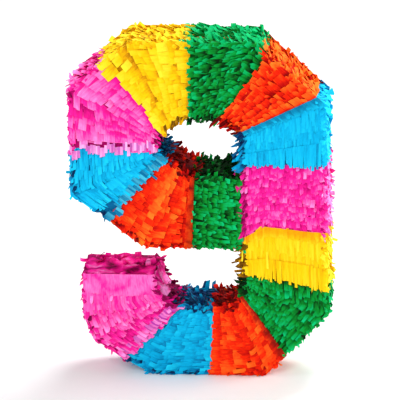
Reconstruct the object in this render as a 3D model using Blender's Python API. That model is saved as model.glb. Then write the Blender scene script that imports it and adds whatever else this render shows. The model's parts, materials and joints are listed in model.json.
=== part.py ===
"""A number nine pinata: a hollow cardboard nine covered in bands of fringed tissue paper.

Metres, +Z up. The nine faces -Y and stands on its base, with the origin at the middle of that base.
The cardboard is two nine-shaped panels joined by bent wall strips and taped at the edges. Each band of
tissue has a front (folded in over the inner walls), an outer side and a back. A hatch in the back panel
swings up on a scored fold to let the sweets in, and two eyelets in the crown take the hanging cord.
"""

import math

import bmesh
import bpy
from mathutils import Matrix, Vector

# Cardboard nine, measured over its walls
WIDTH = 0.373
DEPTH = 0.075
STEM_WIDTH = 0.116
LOOP_WIDTH = 0.119
FOOT_HEIGHT = 0.0965
MOUTH_HEIGHT = 0.1065
BAR_HEIGHT = 0.0995
HOLE_HEIGHT = 0.104
CROWN_HEIGHT = 0.1075
TAIL_WIDTH = 0.097
TAIL_INSET = 0.016
TAIL_HEIGHT = 0.147

# Corner cuts, as (along x, along z)
CROWN_LEFT_CUT = (0.084, 0.071)
CROWN_RIGHT_CUT = (0.1015, 0.0915)
STEM_FOOT_CUT = (0.094, 0.096)
TAIL_HEEL_CUT = (0.016, 0.034)
TAIL_BASE_CUT = (0.080, 0.050)
ELBOW_CUT = (0.108, 0.079)
MOUTH_FLOOR_CUT = (0.023, 0.025)
TAIL_TIP_CUT = (0.006, 0.024)
TAIL_ROOT_CUT = (0.026, 0.026)
HOLE_TOP_LEFT_CUT = (0.046, 0.029)
HOLE_TOP_RIGHT_CUT = (0.032, 0.029)
HOLE_BASE_LEFT_CUT = (0.052, 0.042)

# Materials' thicknesses and clearances
PANEL = 0.003
WALL = 0.0025
TAPE = 0.0004
TAPE_LEG = 0.012
FRINGE = 0.0055
GAP = 0.0003

# Hatch in the back of the stem
HATCH_SIDE_MARGIN = 0.016
HATCH_HEIGHT = 0.072
HATCH_ABOVE_BAR = 0.039
HATCH_CLEARANCE = 0.0008
HATCH_LIP = 0.006
HATCH_FRAME_BORDER = 0.008
HATCH_FRAME = 0.003
FLAP_FRINGE_DROP = 0.003
FRINGE_CLEARANCE = 0.002
HINGE_CLEARANCE = 0.0035
PULL_WIDTH = 0.014
PULL_GLUED = 0.015
PULL_HANG = 0.022

# Hanging eyelets in the crown
HANGER_X = 0.022
EYELET_PITCH = 0.040
EYELET_BORE = 0.003
EYELET_WALL = 0.001
EYELET_FLANGE = 0.0035
EYELET_LIP = 0.0008
EYELET_STICKS_OUT = 0.0015
EYELET_ROOM = 0.0015
HANGER_PLATE = 0.003
HANGER_PLATE_MARGIN = 0.022
HANGER_PLATE_INSET = 0.004
ROUND_STEPS = 24

# Tissue colours, as they look (sRGB)
PINK = (0.98, 0.20, 0.62)
BLUE = (0.02, 0.68, 0.93)
ORANGE = (0.99, 0.27, 0.04)
GREEN = (0.02, 0.62, 0.24)
YELLOW = (1.0, 0.83, 0.06)
BOARD = (0.72, 0.56, 0.38)
PAPER_TAPE = (0.84, 0.74, 0.55)
BRASS = (0.80, 0.66, 0.34)
RIBBON = (0.96, 0.96, 0.94)

SKIN_IN = GAP + TAPE + GAP
SKIN_OUT = SKIN_IN + FRINGE
HALF_DEPTH = DEPTH / 2
BASE = SKIN_OUT
LEFT, RIGHT = -WIDTH / 2, WIDTH / 2
FOOT_TOP = BASE + FOOT_HEIGHT
BAR_BOTTOM = FOOT_TOP + MOUTH_HEIGHT
BAR_TOP = BAR_BOTTOM + BAR_HEIGHT
HOLE_TOP = BAR_TOP + HOLE_HEIGHT
TOP = HOLE_TOP + CROWN_HEIGHT
STEM_LEFT = RIGHT - STEM_WIDTH
STEM_MIDDLE = (STEM_LEFT + RIGHT) / 2
HOLE_LEFT = LEFT + LOOP_WIDTH
TAIL_LEFT = LEFT + TAIL_INSET
TAIL_RIGHT = TAIL_LEFT + TAIL_WIDTH
TAIL_TOP = BASE + TAIL_HEIGHT
HATCH_WIDTH = STEM_WIDTH - 2 * HATCH_SIDE_MARGIN
HATCH_BOTTOM = BAR_BOTTOM + HATCH_ABOVE_BAR
HATCH_TOP = HATCH_BOTTOM + HATCH_HEIGHT


class Contour:
    """A closed run of wall as named (x, z) corners, with the cardboard on the left of the way it runs."""

    def __init__(self, **corners):
        self.names = list(corners)
        self.corners = [Vector(corner) for corner in corners.values()]
        following = self.corners[1:] + self.corners[:1]
        edges = [b - a for a, b in zip(self.corners, following)]
        self.lengths = [edge.length for edge in edges]
        self.normals = [Vector((edge.y, -edge.x)).normalized() for edge in edges]
        self.starts = [sum(self.lengths[:i]) for i in range(len(edges))]
        self.total = sum(self.lengths)

    def mark(self, name, share=0.0, by=0.0):
        """The distance along the contour to a share of the edge that leaves a corner, plus a length."""
        i = self.names.index(name)
        return self.starts[i] + share * self.lengths[i] + by

    def corner(self, i, out):
        before, after = self.normals[i - 1], self.normals[i]
        return self.corners[i] + (before + after) * out / (1 + before.dot(after))

    def point(self, along, out):
        along %= self.total
        for i, start in enumerate(self.starts):
            if abs(along - start) < 1e-7:
                return self.corner(i, out)
            if start < along < start + self.lengths[i]:
                share = (along - start) / self.lengths[i]
                following = self.corners[(i + 1) % len(self.corners)]
                return self.corners[i].lerp(following, share) + self.normals[i] * out
        return self.corner(0, out)

    def stretch(self, first, last, out):
        """The points from one mark on to another, moved out from the cardboard and mitred at corners."""
        if last < first:
            last += self.total
        passed = [
            (start + turn, i)
            for turn in (0, self.total)
            for i, start in enumerate(self.starts)
            if first + 1e-7 < start + turn < last - 1e-7
        ]
        between = [self.corner(i, out) for _, i in sorted(passed)]
        return [self.point(first, out), *between, self.point(last, out)]

    def loop(self, out):
        return [self.corner(i, out) for i in range(len(self.corners))]


OUTSIDE = Contour(
    tail_tip=(TAIL_LEFT, TAIL_TOP),
    tail_heel=(TAIL_LEFT, BASE + TAIL_BASE_CUT[1] + TAIL_HEEL_CUT[1]),
    tail_sole=(TAIL_LEFT + TAIL_HEEL_CUT[0], BASE + TAIL_BASE_CUT[1]),
    base_left=(TAIL_LEFT + TAIL_HEEL_CUT[0] + TAIL_BASE_CUT[0], BASE),
    base_right=(RIGHT - STEM_FOOT_CUT[0], BASE),
    stem_foot=(RIGHT, BASE + STEM_FOOT_CUT[1]),
    shoulder=(RIGHT, TOP - CROWN_RIGHT_CUT[1]),
    crown_right=(RIGHT - CROWN_RIGHT_CUT[0], TOP),
    crown_left=(LEFT + CROWN_LEFT_CUT[0], TOP),
    loop_top=(LEFT, TOP - CROWN_LEFT_CUT[1]),
    elbow=(LEFT, BAR_BOTTOM + ELBOW_CUT[1]),
    bar_left=(LEFT + ELBOW_CUT[0], BAR_BOTTOM),
    mouth_top=(STEM_LEFT, BAR_BOTTOM),
    mouth_side=(STEM_LEFT, FOOT_TOP + MOUTH_FLOOR_CUT[1]),
    mouth_floor=(STEM_LEFT - MOUTH_FLOOR_CUT[0], FOOT_TOP),
    tail_root=(TAIL_RIGHT + TAIL_TIP_CUT[0] + TAIL_ROOT_CUT[0], FOOT_TOP),
    tail_throat=(TAIL_RIGHT + TAIL_TIP_CUT[0], TAIL_TOP - TAIL_TIP_CUT[1]),
    tail_lip=(TAIL_RIGHT, TAIL_TOP),
)
HOLE = Contour(
    stem_high=(STEM_LEFT, HOLE_TOP - HOLE_TOP_RIGHT_CUT[1]),
    stem_low=(STEM_LEFT, BAR_TOP),
    floor_left=(HOLE_LEFT + HOLE_BASE_LEFT_CUT[0], BAR_TOP),
    loop_low=(HOLE_LEFT, BAR_TOP + HOLE_BASE_LEFT_CUT[1]),
    loop_high=(HOLE_LEFT, HOLE_TOP - HOLE_TOP_LEFT_CUT[1]),
    roof_left=(HOLE_LEFT + HOLE_TOP_LEFT_CUT[0], HOLE_TOP),
    roof_right=(STEM_LEFT - HOLE_TOP_RIGHT_CUT[0], HOLE_TOP),
)

# Where each band ends on the outer edge, and where that cut meets the inner edge
OUTER_CUTS = {
    1: OUTSIDE.mark("tail_sole", 0.52),
    2: OUTSIDE.mark("base_left", 0.54),
    3: OUTSIDE.mark("base_right", 0.34),
    4: OUTSIDE.mark("stem_foot", 0.11),
    5: OUTSIDE.mark("stem_foot", 0.38),
    6: OUTSIDE.mark("stem_foot", 0.72),
    7: OUTSIDE.mark("shoulder", 0.11),
    8: OUTSIDE.mark("shoulder", 0.85),
    9: OUTSIDE.mark("crown_right", 0.52),
    10: OUTSIDE.mark("crown_left", 0.42),
    11: OUTSIDE.mark("loop_top", 0.60),
    12: OUTSIDE.mark("elbow", 0.49),
    13: OUTSIDE.mark("bar_left", 0.44),
}
INNER_CUTS = {
    1: OUTSIDE.mark("mouth_floor", 0.92),
    2: OUTSIDE.mark("mouth_floor", 0.30),
    3: OUTSIDE.mark("mouth_side", 0.12),
    4: OUTSIDE.mark("mouth_top", 0.58),
    6: HOLE.mark("stem_high", 0.64),
    7: HOLE.mark("roof_right", 0.80),
    8: HOLE.mark("roof_left", 0.88),
    9: HOLE.mark("roof_left", 0.12),
    10: HOLE.mark("loop_high", 0.20),
    11: HOLE.mark("loop_low", 0.30),
    12: HOLE.mark("floor_left", 0.72),
    13: HOLE.mark("stem_low", 0.90),
}
TAIL_WRAP = OUTSIDE.mark("tail_throat", 0.65)
MOUTH_TOP = OUTSIDE.mark("mouth_top")
HOLE_CORNER = HOLE.mark("stem_low")
JUNCTION_X = STEM_LEFT - SKIN_OUT
JUNCTION_SPLIT = Vector((JUNCTION_X, BAR_BOTTOM + 0.0078))
YELLOW_KINK = Vector((STEM_LEFT + 0.028, BAR_BOTTOM + 0.0268))
BAND_COLOURS = [PINK, BLUE, ORANGE, GREEN, YELLOW]
COLOUR_NAMES = ["pink", "blue", "orange", "green", "yellow"]
BANDS = range(1, 15)


def band_pieces(band):
    """A band's outline, in order, as stretches of wall (role, contour, from, to) and free points."""
    if band == 1:
        return [
            ("fold", OUTSIDE, INNER_CUTS[1], TAIL_WRAP),
            ("side", OUTSIDE, TAIL_WRAP, OUTER_CUTS[1]),
        ]
    if band == 14:
        return [
            ("side", OUTSIDE, OUTER_CUTS[13], MOUTH_TOP - SKIN_OUT),
            ("fold", HOLE, HOLE_CORNER + SKIN_OUT, INNER_CUTS[13]),
        ]
    side = ("side", OUTSIDE, OUTER_CUTS[band - 1], OUTER_CUTS[band])
    if band == 5:
        return [side, YELLOW_KINK, JUNCTION_SPLIT, ("fold", OUTSIDE, MOUTH_TOP, INNER_CUTS[4])]
    if band == 6:
        return [side, ("fold", HOLE, INNER_CUTS[6], HOLE_CORNER), JUNCTION_SPLIT, YELLOW_KINK]
    contour = OUTSIDE if band < 5 else HOLE
    return [side, ("fold", contour, INNER_CUTS[band], INNER_CUTS[band - 1])]


def band_outline(band):
    """The band's outline at the tissue's outer surface, and what each edge is: side, fold or shared."""
    points, kinds = [], []
    for piece in band_pieces(band):
        if isinstance(piece, Vector):
            points.append(piece)
            kinds.append("shared")
            continue
        role, contour, first, last = piece
        stretch = contour.stretch(first, last, SKIN_OUT)
        if points and (stretch[0] - points[-1]).length < 1e-7:
            points.pop()
            kinds.pop()
        points += stretch
        kinds += [role] * (len(stretch) - 1) + ["shared"]
    return points, kinds


def inset(points, distances):
    """Each edge of a counter-clockwise outline moved in by its distance: the new points at each corner."""
    moved = []
    for i, point in enumerate(points):
        before = (point - points[i - 1]).normalized()
        after = (points[(i + 1) % len(points)] - point).normalized()
        inward_before, inward_after = Vector((-before.y, before.x)), Vector((-after.y, after.x))
        turn = before.cross(after)
        start, end = distances[i - 1], distances[i]
        if abs(turn) < 1e-4:
            options = [point + inward_before * start, point + inward_after * end]
            moved.append(options if abs(start - end) > 1e-9 else options[:1])
        else:
            step = (inward_after * end - inward_before * start).dot(inward_after)
            along = step / before.dot(inward_after)
            moved.append([point + inward_before * start + before * along])
    return moved


def shrunk_outline(band):
    """The band's outline with half a gap taken off every edge that it shares with a neighbour."""
    points, kinds = band_outline(band)
    moved = inset(points, [GAP / 2 if kind == "shared" else 0 for kind in kinds])
    outline, edges = [], []
    for corner, kind in zip(moved, kinds):
        outline += corner
        edges += ["shared"] * (len(corner) - 1) + [kind]
    return outline, edges


def fold_outline(band):
    """The strip of the band's outline that is folded in over the inner wall."""
    outline, edges = shrunk_outline(band)
    moved = inset(outline, [FRINGE if kind == "fold" else 0 for kind in edges])
    count = len(outline)
    first = next(i for i in range(count) if edges[i] == "fold" and edges[i - 1] != "fold")
    steps = [(first + k) % count for k in range(edges.count("fold") + 1)]
    outer = [outline[i] for i in steps]
    inner = [moved[steps[0]][-1], *[moved[i][0] for i in steps[1:]]]
    return outer + inner[::-1]


def linear(colour):
    return [c / 12.92 if c <= 0.04045 else ((c + 0.055) / 1.055) ** 2.4 for c in colour]


def paint(obj, colour, roughness, metallic=0.0):
    material = bpy.data.materials.new(obj.name)
    material.use_nodes = True
    shader = material.node_tree.nodes["Principled BSDF"]
    shader.inputs["Base Color"].default_value = (*linear(colour), 1)
    shader.inputs["Roughness"].default_value = roughness
    shader.inputs["Metallic"].default_value = metallic
    obj.data.materials.append(material)
    return obj


def add_mesh(name, bm, parent=None):
    """An object from a bmesh with its faces turned outwards. Its origin is its parent's."""
    bmesh.ops.recalc_face_normals(bm, faces=bm.faces)
    mesh = bpy.data.meshes.new(name)
    if parent:
        bm.transform(Matrix.Translation(parent.location).inverted())
    bm.to_mesh(mesh)
    bm.free()
    obj = bpy.data.objects.new(name, mesh)
    bpy.context.scene.collection.objects.link(obj)
    obj.parent = parent
    return obj


def slab(name, loops, near, far, parent=None):
    """A flat piece between two depths: an outline in (x, z), and the outlines of any holes in it."""
    bm = bmesh.new()
    edges = []
    for loop in loops:
        corners = [bm.verts.new((x, near, z)) for x, z in loop]
        edges += [bm.edges.new(pair) for pair in zip(corners, corners[1:] + corners[:1])]
    bmesh.ops.triangle_fill(bm, use_beauty=True, edges=edges)
    extruded = bmesh.ops.extrude_face_region(bm, geom=bm.faces[:])["geom"]
    moved = [item for item in extruded if isinstance(item, bmesh.types.BMVert)]
    bmesh.ops.translate(bm, verts=moved, vec=(0, far - near, 0))
    return add_mesh(name, bm, parent)


def block(name, low, high, parent=None):
    bm = bmesh.new()
    bmesh.ops.create_cube(bm, size=1)
    size, middle = Vector(high) - Vector(low), (Vector(high) + Vector(low)) / 2
    bmesh.ops.transform(bm, verts=bm.verts, matrix=Matrix.Translation(middle) @ Matrix.Diagonal((*size, 1)))
    return add_mesh(name, bm, parent)


def sweep(name, section, first=None, last=None, contour=OUTSIDE):
    """A section of (out, y) points carried along a contour, all round it or from one mark to another."""
    bm = bmesh.new()
    closed = first is None
    runs = [
        contour.loop(out) if closed else contour.stretch(first, last, out)
        for out, _ in section
    ]
    rings = [
        [bm.verts.new((run[i].x, y, run[i].y)) for run, (_, y) in zip(runs, section)]
        for i in range(len(runs[0]))
    ]
    if not closed:
        bm.faces.new(rings[0])
        bm.faces.new(rings[-1])
    for ring, following in zip(rings, rings[1:] + rings[:1] if closed else rings[1:]):
        for i in range(len(section)):
            bm.faces.new((ring[i - 1], ring[i], following[i], following[i - 1]))
    return add_mesh(name, bm)


def turned(name, profile, x, y=0.0):
    """A (radius, z) profile turned about a vertical axis."""
    bm = bmesh.new()
    rings = []
    for step in range(ROUND_STEPS):
        angle = 2 * math.pi * step / ROUND_STEPS
        across, along = math.cos(angle), math.sin(angle)
        rings.append([bm.verts.new((x + r * across, y + r * along, z)) for r, z in profile])
    for ring, following in zip(rings, rings[1:] + rings[:1]):
        for i in range(len(profile)):
            bm.faces.new((ring[i - 1], ring[i], following[i], following[i - 1]))
    return add_mesh(name, bm)


def round_cutter(name, radius, x, low, high):
    bm = bmesh.new()
    middle = Matrix.Translation((x, 0, (low + high) / 2))
    bmesh.ops.create_cone(
        bm, cap_ends=True, segments=ROUND_STEPS, radius1=radius, radius2=radius, depth=high - low, matrix=middle
    )
    return add_mesh(name, bm)


def combine(obj, other, operation):
    """Cuts the other shape from the object, or joins it on, and keeps the other as a hidden helper."""
    other.hide_render = True
    other.display_type = "WIRE"
    modifier = obj.modifiers.new(other.name, "BOOLEAN")
    modifier.operation = operation
    modifier.object = other
    return obj


def board_section(thickness=WALL):
    reach = HALF_DEPTH - PANEL - GAP
    return [(0, -reach), (0, reach), (-thickness, reach), (-thickness, -reach)]


def build_panels():
    outline, hole = OUTSIDE.loop(0), HOLE.loop(0)
    wide = HATCH_WIDTH / 2 + HATCH_CLEARANCE
    low, high = HATCH_BOTTOM - HATCH_CLEARANCE, HATCH_TOP + HATCH_CLEARANCE
    hatch = rectangle(STEM_MIDDLE - wide, STEM_MIDDLE + wide, low, high)
    front = slab("front_panel", [outline, hole], -HALF_DEPTH, -HALF_DEPTH + PANEL)
    back = slab("back_panel", [outline, hole, hatch], HALF_DEPTH - PANEL, HALF_DEPTH)
    for panel in (front, back):
        paint(panel, BOARD, 0.85)


def rectangle(left, right, low, high):
    return [Vector(p) for p in ((left, low), (right, low), (right, high), (left, high))]


def eyelet_places():
    return [HANGER_X - EYELET_PITCH / 2, HANGER_X + EYELET_PITCH / 2]


def build_walls():
    """The bent wall strips, which butt on straight stretches, and the ring round the hole."""
    joints = {
        "bar": OUTSIDE.mark("bar_left", 0.25),
        "spine": OUTSIDE.mark("stem_foot", 0.90),
        "base": OUTSIDE.mark("base_left", 0.30),
        "tail": OUTSIDE.mark("tail_lip", 0.50),
    }
    strips = {
        "crown_wall": ("spine", "bar"),
        "spine_wall": ("base", "spine"),
        "foot_wall": ("tail", "base"),
        "mouth_wall": ("bar", "tail"),
    }
    for name, (first, last) in strips.items():
        wall = sweep(name, board_section(), joints[first] + GAP / 2, joints[last] - GAP / 2)
        paint(wall, BOARD, 0.85)
        if name == "crown_wall":
            drill_for_eyelets(wall)
    paint(sweep("hole_wall", board_section(), contour=HOLE), BOARD, 0.85)


def drill_for_eyelets(piece, radius=EYELET_BORE + EYELET_WALL + GAP):
    for i, x in enumerate(eyelet_places()):
        low, high = TOP - CROWN_HEIGHT / 2, TOP + CROWN_HEIGHT / 2
        combine(piece, round_cutter(f"{piece.name}_cutter_{i}", radius, x, low, high), "DIFFERENCE")


def build_tapes():
    """Gummed paper tape bent over each edge of the box, half on the panel and half on the wall."""
    face, skin = HALF_DEPTH + GAP, HALF_DEPTH + GAP + TAPE
    edge = HALF_DEPTH - TAPE_LEG
    section = [(-TAPE_LEG, skin), (GAP + TAPE, skin), (GAP + TAPE, edge), (GAP, edge), (GAP, face), (-TAPE_LEG, face)]
    for where, side in (("front", -1), ("back", 1)):
        turned_section = [(out, side * y) for out, y in section]
        paint(sweep(f"{where}_edge_tape", turned_section), PAPER_TAPE, 0.6)
        paint(sweep(f"{where}_hole_tape", turned_section, contour=HOLE), PAPER_TAPE, 0.6)


def build_hanger():
    """The two eyelets in the crown and the board under it that spreads their load."""
    reach = EYELET_PITCH / 2 + HANGER_PLATE_MARGIN
    deep = HALF_DEPTH - PANEL - HANGER_PLATE_INSET
    high = TOP - WALL - GAP
    low = high - HANGER_PLATE
    plate = block("hanger_plate", (HANGER_X - reach, -deep, low), (HANGER_X + reach, deep, high))
    drill_for_eyelets(paint(plate, BOARD, 0.85))
    under, over = low - EYELET_STICKS_OUT, TOP + GAP
    barrel = EYELET_BORE + EYELET_WALL
    flange = barrel + EYELET_FLANGE
    profile = [
        (EYELET_BORE, under),
        (barrel, under),
        (barrel, over),
        (flange, over),
        (flange, over + EYELET_LIP),
        (EYELET_BORE, over + EYELET_LIP),
    ]
    for name, x in zip(("eyelet_left", "eyelet_right"), eyelet_places()):
        paint(turned(name, profile, x), BRASS, 0.3, 1.0)


def build_hatch():
    """The hatch's inner stop frame, and the flap with its fringe and pull ribbon, hung from its top edge."""
    wide, low, high = HATCH_WIDTH / 2, HATCH_BOTTOM, HATCH_TOP
    grown = HATCH_CLEARANCE + HATCH_FRAME_BORDER
    frame_outer = rectangle(STEM_MIDDLE - wide - grown, STEM_MIDDLE + wide + grown, low - grown, high + grown)
    frame_inner = rectangle(
        STEM_MIDDLE - wide + HATCH_LIP, STEM_MIDDLE + wide - HATCH_LIP, low + HATCH_LIP, high - HATCH_LIP
    )
    behind = HALF_DEPTH - PANEL - GAP
    frame = slab("hatch_stop_frame", [frame_outer, frame_inner], behind - HATCH_FRAME, behind)
    paint(frame, BOARD, 0.85)

    hinge = bpy.data.objects.new("hatch_hinge", None)
    hinge.location = (STEM_MIDDLE, HALF_DEPTH, high)
    bpy.context.scene.collection.objects.link(hinge)
    flap = rectangle(STEM_MIDDLE - wide, STEM_MIDDLE + wide, low, high - GAP)
    paint(slab("hatch_flap", [flap], HALF_DEPTH - PANEL, HALF_DEPTH, hinge), BOARD, 0.85)
    fringe = rectangle(STEM_MIDDLE - wide, STEM_MIDDLE + wide, low, high - FLAP_FRINGE_DROP)
    near, far = HALF_DEPTH + SKIN_IN, HALF_DEPTH + SKIN_OUT
    paint(slab("hatch_flap_fringe", [fringe], near, far, hinge), PINK, 0.7)
    paint(pull_ribbon("hatch_pull_ribbon", hinge), RIBBON, 0.4)


def pull_ribbon(name, hinge):
    """A ribbon glued to the flap's face, brought out under its fringe and hanging down outside."""
    near, far = HALF_DEPTH + GAP, HALF_DEPTH + SKIN_OUT + GAP
    high = HATCH_BOTTOM + PULL_GLUED
    step = HATCH_BOTTOM - (FRINGE_CLEARANCE - TAPE) / 2
    low = step - PULL_HANG
    profile = [
        (near, high),
        (near, step - TAPE),
        (far, step - TAPE),
        (far, low),
        (far + TAPE, low),
        (far + TAPE, step),
        (near + TAPE, step),
        (near + TAPE, high),
    ]
    bm = bmesh.new()
    left, right = STEM_MIDDLE - PULL_WIDTH / 2, STEM_MIDDLE + PULL_WIDTH / 2
    face = bm.faces.new([bm.verts.new((left, y, z)) for y, z in profile])
    extruded = bmesh.ops.extrude_face_region(bm, geom=[face])["geom"]
    moved = [item for item in extruded if isinstance(item, bmesh.types.BMVert)]
    bmesh.ops.translate(bm, verts=moved, vec=(right - left, 0, 0))
    return add_mesh(name, bm, hinge)


def hatch_cutter():
    """The window in the back's fringe for the flap, with room over the hinge for the fringe to swing."""
    wide = HATCH_WIDTH / 2 + FRINGE_CLEARANCE
    low, high = HATCH_BOTTOM - FRINGE_CLEARANCE, HATCH_TOP + SKIN_OUT + HINGE_CLEARANCE
    return block(
        "hatch_window_cutter",
        (STEM_MIDDLE - wide, HALF_DEPTH, low),
        (STEM_MIDDLE + wide, HALF_DEPTH + 2 * SKIN_OUT, high),
    )


def build_band(band):
    """A band of tissue: its front, folded in over the inner wall, its outer side and its back."""
    colour = BAND_COLOURS[(band - 1) % len(BAND_COLOURS)]
    name = f"band_{band:02d}_{COLOUR_NAMES[(band - 1) % len(COLOUR_NAMES)]}"
    outline, _ = shrunk_outline(band)
    near, far = HALF_DEPTH + SKIN_IN, HALF_DEPTH + SKIN_OUT
    front = slab(f"{name}_front", [outline], -far, -near)
    middle = (near + far) / 2
    fold = slab(f"{name}_fold", [fold_outline(band)], -middle, near - GAP)
    combine(front, fold, "UNION")
    back = slab(f"{name}_back", [outline], near, far)
    if band == 6:
        combine(back, hatch_cutter(), "DIFFERENCE")
    section = [(SKIN_IN, -near + GAP), (SKIN_IN, near - GAP), (SKIN_OUT, near - GAP), (SKIN_OUT, -near + GAP)]
    _, _, first, last = next(p for p in band_pieces(band) if p[0] == "side")
    side = sweep(f"{name}_side", section, first + GAP, last - GAP)
    if band == 9:
        drill_for_eyelets(side, EYELET_BORE + EYELET_WALL + EYELET_FLANGE + EYELET_ROOM)
    for piece in (front, side, back):
        paint(piece, colour, 0.7)


def main():
    for obj in list(bpy.data.objects):
        bpy.data.objects.remove(obj, do_unlink=True)
    build_panels()
    build_walls()
    build_tapes()
    build_hanger()
    build_hatch()
    for band in BANDS:
        build_band(band)


main()
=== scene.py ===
"""The looks of a number nine pinata, built round its packed cardboard frame.

Each band of the nine is a skin of tissue paper: a backing glued to the board, and rows of fringe laid on
it from one end of the band to the other. A band's rows run across the stroke of the nine, and their tabs
point along it. Metres and the frame's own axes throughout.
"""

import json
import math
import re
from collections import namedtuple
from functools import cache

import bmesh
import bpy
import numpy as np
from bpy.props import FloatProperty, FloatVectorProperty, PointerProperty
from bpy.types import Operator, Panel, PropertyGroup
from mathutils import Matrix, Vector, noise


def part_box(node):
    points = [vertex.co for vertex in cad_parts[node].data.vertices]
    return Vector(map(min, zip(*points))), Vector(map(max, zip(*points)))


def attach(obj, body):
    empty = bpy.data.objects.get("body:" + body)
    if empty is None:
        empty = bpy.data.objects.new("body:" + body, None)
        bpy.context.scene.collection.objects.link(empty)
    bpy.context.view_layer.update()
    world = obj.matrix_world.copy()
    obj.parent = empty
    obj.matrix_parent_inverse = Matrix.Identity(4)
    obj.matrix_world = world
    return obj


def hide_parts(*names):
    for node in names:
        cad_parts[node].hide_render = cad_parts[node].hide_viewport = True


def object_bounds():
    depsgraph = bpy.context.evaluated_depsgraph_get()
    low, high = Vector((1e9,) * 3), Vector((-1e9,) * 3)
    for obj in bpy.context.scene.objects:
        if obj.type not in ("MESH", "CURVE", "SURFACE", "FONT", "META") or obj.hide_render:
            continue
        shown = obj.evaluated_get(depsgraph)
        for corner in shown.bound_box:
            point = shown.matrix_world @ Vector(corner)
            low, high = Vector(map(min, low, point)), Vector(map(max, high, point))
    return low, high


bl_info = {
    "name": "Number Nine Pinata",
    "version": (1, 0, 0),
    "blender": (4, 5, 0),
    "location": "View3D > Sidebar > Pinata",
    "description": "Models the fringe, the hatch and the stage of a number nine pinata",
    "category": "Add Mesh",
}

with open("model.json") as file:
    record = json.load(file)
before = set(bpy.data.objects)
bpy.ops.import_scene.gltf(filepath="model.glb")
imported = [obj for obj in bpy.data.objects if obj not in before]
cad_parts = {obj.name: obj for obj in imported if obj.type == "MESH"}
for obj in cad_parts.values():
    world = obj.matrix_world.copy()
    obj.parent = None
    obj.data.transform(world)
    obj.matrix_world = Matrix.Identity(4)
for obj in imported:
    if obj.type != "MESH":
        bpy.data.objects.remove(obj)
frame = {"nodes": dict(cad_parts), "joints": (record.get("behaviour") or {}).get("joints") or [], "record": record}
NODES = frame["nodes"]
CAD_BOX = [list(corner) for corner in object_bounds()]
HINGE = frame["joints"][0]
BANDS = {
    int(match[1]): match[2]
    for match in (re.fullmatch(r"band_(\d+)_(\w+)_front", name) for name in sorted(NODES))
    if match
}
# The bands with a part of their own, by number from the tail's end
TAIL, RIBBON_BAND, HATCH_BAND, EYELET_BAND, LAPPED_BAND = 1, 5, 6, 9, 13
STEM = (5, 6)

# How each band's fringe is cut and laid, in metres and degrees. Flow is 1 where its tabs point away from the
# tail and -1 where they point towards it, row is from row to row, tab and length are a tab's width and length,
# lift is how far the tabs stand up, mess how far they differ, and taper the share that isn't cut straight.
# Streak and tone are how much the tabs differ in tone and how light they are on the whole, from 0 to 1.
Cut = namedtuple("Cut", "flow row tab length lift mess taper streak tone")
CUTS = {
    1: Cut(1, 0.0105, 0.0046, 0.017, 8, 0.42, 0.25, 0.04, 0.58),
    2: Cut(-1, 0.0105, 0.0055, 0.017, 5, 0.26, 0.20, 0.05, 0.53),
    3: Cut(-1, 0.0110, 0.0075, 0.017, 6, 0.20, 0.10, 0.09, 0.52),
    4: Cut(-1, 0.0075, 0.0048, 0.013, 8, 0.60, 0.65, 0.03, 0.54),
    5: Cut(-1, 0.0135, 0.0034, 0.029, 2, 0.12, 0.10, 0.03, 0.58),
    6: Cut(-1, 0.0080, 0.0055, 0.014, 5, 0.30, 0.40, 0.03, 0.51),
    7: Cut(-1, 0.0135, 0.0038, 0.029, 2, 0.14, 0.10, 0.03, 0.60),
    8: Cut(1, 0.0095, 0.0075, 0.015, 7, 0.45, 0.40, 0.06, 0.56),
    9: Cut(1, 0.0080, 0.0056, 0.014, 12, 0.95, 0.65, 0.05, 0.54),
    10: Cut(1, 0.0100, 0.0110, 0.016, 8, 0.36, 0.10, 0.12, 0.57),
    11: Cut(1, 0.0120, 0.0105, 0.018, 8, 0.36, 0.10, 0.05, 0.61),
    12: Cut(1, 0.0120, 0.0042, 0.021, 5, 0.28, 0.10, 0.04, 0.64),
    13: Cut(1, 0.0105, 0.0085, 0.017, 6, 0.28, 0.15, 0.06, 0.54),
    14: Cut(1, 0.0075, 0.0052, 0.013, 10, 0.75, 0.70, 0.03, 0.56),
}
# Bands whose last rows lie over the next band, those whose last row is stepped, and those where it is sheer
OVERLAPPING = (1, 3, 5, 7, 8, 9, 10, 11, 12, 14)
STEPPED = (8, 10, 11, 12)
SHEER_ENDS = (1, 11, 12)
# The header row that some bands have: its length, how high it lies, and how far it laps over the next band
HEADERS = {
    3: (0.010, 0.0030, 0.0),
    5: (0.013, 0.0020, 0.0025),
    6: (0.016, -0.0010, 0.0),
    7: (0.013, 0.0026, 0.001),
}
# The tufts that stray out over the hole and the mouth: how close, how long, which tone. The tones are dark, as
# painted shade for the shade in the hole and the mouth. 0 is for other bands
INNER_TUFTS = {
    0: (0.006, 0.014, 0.22),
    4: (0.004, 0.016, 0.08),
    5: (0.0040, 0.016, 0.06),
    7: (0.0035, 0.020, 0.22),
    8: (0.004, 0.018, 0.22),
    13: (0.0045, 0.015, 0.22),
    14: (0.005, 0.014, 0.18),
}
# How much of the tail's length the plain wrap at its end takes up, by the mouth and by the outer edge
TAIL_WRAP = (0.45, 0.17)
# How far, at most, the fringe may stand off a flat face and a wall
FLAT_LOFT, WALL_LOFT = 0.008, 0.013
# How far the skin falls away over the last stretch before a corner
CORNER_DROP, CORNER_REACH = 0.003, 0.006
# How a tab's tone is painted from its root to its tip: darker at the root as painted shade, where it lies in the
# row above's shade, and a little lighter at the tip as painted light
SHADING = ((0.0, 0.32, 0.55, 1.0), (-0.34, -0.30, -0.03, 0.09))
# How deep a tab's root, a wall's edge and a backing lie under the outer surface of the skin
ROOT_SINK, EDGE_SINK, BACKING_SINK = 0.0022, 0.002, 0.003
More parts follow.
